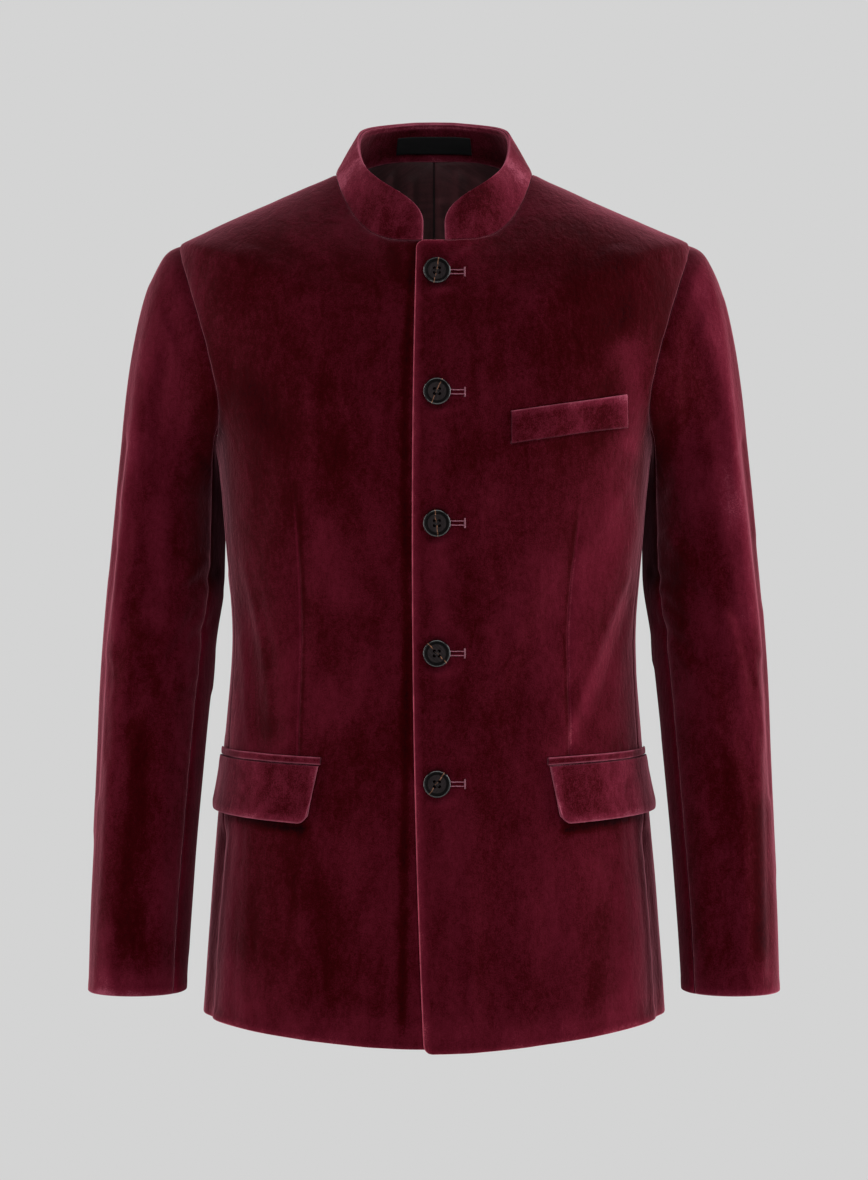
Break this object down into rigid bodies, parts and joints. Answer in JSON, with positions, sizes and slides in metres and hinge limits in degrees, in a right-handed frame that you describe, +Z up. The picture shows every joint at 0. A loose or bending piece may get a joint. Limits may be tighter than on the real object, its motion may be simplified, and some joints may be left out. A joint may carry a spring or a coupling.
{
  "type": "nehru jacket",
  "caption": "Hip-length velvet Nehru jacket with a stand collar, buttoned front, flap pockets and chest welt, filled out as if worn.",
  "frame": {"origin": "middle of the neck's base, level with the points where the shoulder seams meet the collar", "axes": "+X to the wearer's left, -Y to the wearer's front, +Z up"},
  "size_m": [0.5952, 0.2595, 0.8034],
  "materials": {
    "velvet": "matte",
    "lining_satin": "satin",
    "label_weave": "satin",
    "horn": "gloss",
    "sewing_thread": "matte",
    "buttonhole_thread": "satin"
  },
  "bodies": {
    "root": {"front_left": "velvet", "side_panel_left": "velvet", "back_left": "velvet", "sleeve_top_left": "velvet", "sleeve_under_left": "velvet", "lining_back_left": "lining_satin", "pocket_jet_left": "velvet", "pocket_flap_left": "velvet", "front_right": "velvet", "side_panel_right": "velvet", "back_right": "velvet", "sleeve_top_right": "velvet", "sleeve_under_right": "velvet", "lining_back_right": "lining_satin", "pocket_jet_right": "velvet", "pocket_flap_right": "velvet", "collar_outer": "velvet", "collar_facing": "velvet", "neck_label": "label_weave", "chest_welt": "velvet", "button_1": "horn", "button_thread_1": "sewing_thread", "buttonhole_1": "buttonhole_thread", "button_2": "horn", "button_thread_2": "sewing_thread", "buttonhole_2": "buttonhole_thread", "button_3": "horn", "button_thread_3": "sewing_thread", "buttonhole_3": "buttonhole_thread", "button_4": "horn", "button_thread_4": "sewing_thread", "buttonhole_4": "buttonhole_thread", "button_5": "horn", "button_thread_5": "sewing_thread", "buttonhole_5": "buttonhole_thread"}
  },
  "joints": []
}
